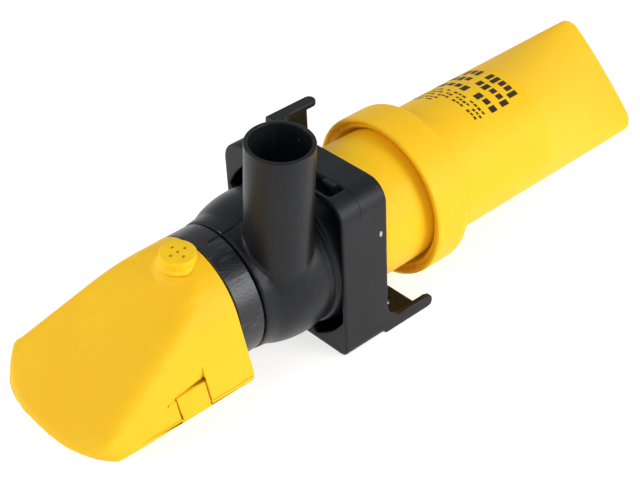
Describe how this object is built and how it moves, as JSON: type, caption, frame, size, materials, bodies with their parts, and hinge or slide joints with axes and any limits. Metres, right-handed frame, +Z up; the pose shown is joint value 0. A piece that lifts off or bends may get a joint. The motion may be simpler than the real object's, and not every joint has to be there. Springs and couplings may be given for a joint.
{
  "type": "bilge pump",
  "caption": "Slim in-line submersible bilge pump: yellow strainer and motor barrel, black volute with upright hose outlet, held in a square bracket.",
  "frame": {"origin": "on the bracket's underside, below the pump's axis, half way along the foot", "axes": "+X along the pump's axis towards the motor's tail, +Y away from the side that the outlet stands on, +Z up"},
  "size_m": [0.2244, 0.0513, 0.0753],
  "materials": {
    "black_plastic": "satin moulded black plastic",
    "yellow_plastic": "satin moulded yellow plastic",
    "seal_rubber": "soft black rubber",
    "impeller_plastic": "natural acetal",
    "screw_steel": "stainless",
    "shaft_steel": "ground steel",
    "can_steel": "zinc-plated steel",
    "magnet_ferrite": "ferrite",
    "stack_steel": "laminated steel",
    "copper": "enamelled copper",
    "bearing_bronze": "sintered bronze",
    "brush_carbon": "graphite",
    "spring_steel": "spring wire",
    "board_laminate": "coated circuit board",
    "component_black": "moulded components",
    "cap_plastic": "glass-filled nylon"
  },
  "bodies": {
    "bracket": {"mount_bracket": "black_plastic"},
    "pump_body": {"volute_housing": "black_plastic", "neck_ring": "black_plastic", "strainer_retainer": "black_plastic", "eye_plate": "black_plastic", "seal_plate": "cap_plastic", "shaft_seal": "seal_rubber", "body_seal_ring": "seal_rubber", "valve_seat": "cap_plastic", "flap_pin": "screw_steel"},
    "strainer": {"strainer_hood": "yellow_plastic", "vent_button": "yellow_plastic"},
    "strainer_tray": {"strainer_base": "yellow_plastic"},
    "motor_unit": {"front_barrel": "yellow_plastic", "motor_can": "can_steel", "motor_magnets": "magnet_ferrite", "motor_end_cap": "cap_plastic", "motor_mount": "cap_plastic", "collar_seal_ring": "seal_rubber", "brushes": "brush_carbon", "brush_springs": "spring_steel", "shaft_bearings": "bearing_bronze", "motor_screws": "screw_steel", "rear_housing": "yellow_plastic", "cable_gland": "seal_rubber", "control_board": "board_laminate", "board_components": "component_black", "sensor_plates": "copper"},
    "rotor": {"impeller": "impeller_plastic", "impeller_screw": "screw_steel", "motor_shaft": "shaft_steel", "armature_stack": "stack_steel", "armature_windings": "copper", "commutator": "copper"},
    "flap": {"valve_flap": "seal_rubber"}
  },
  "joints": [
    {"name": "body_turn", "type": "hinge", "parent": "bracket", "child": "pump_body", "pos_m": [0, 0, 0.026], "axis": [1, 0, 0], "range_deg": [-96, 84]},
    {"name": "motor_twist", "type": "hinge", "parent": "pump_body", "child": "motor_unit", "pos_m": [0, 0, 0.026], "axis": [1, 0, 0], "range_deg": [0, 30]},
    {"name": "strainer_turn", "type": "hinge", "parent": "pump_body", "child": "strainer", "pos_m": [0, 0, 0.026], "axis": [1, 0, 0], "range_deg": [-90, 90]},
    {"name": "tray_pull", "type": "slide", "parent": "strainer", "child": "strainer_tray", "axis": [0, 0.1045, -0.9945], "range_m": [0, 0.018]},
    {"name": "rotor_spin", "type": "hinge", "parent": "motor_unit", "child": "rotor", "pos_m": [0, 0, 0.026], "axis": [1, 0, 0], "continuous": true},
    {"name": "flap_swing", "type": "hinge", "parent": "pump_body", "child": "flap", "pos_m": [-0.0273, -0.00597, 0.05026], "axis": [-1, 0, 0], "range_deg": [0, 60]}
  ]
}
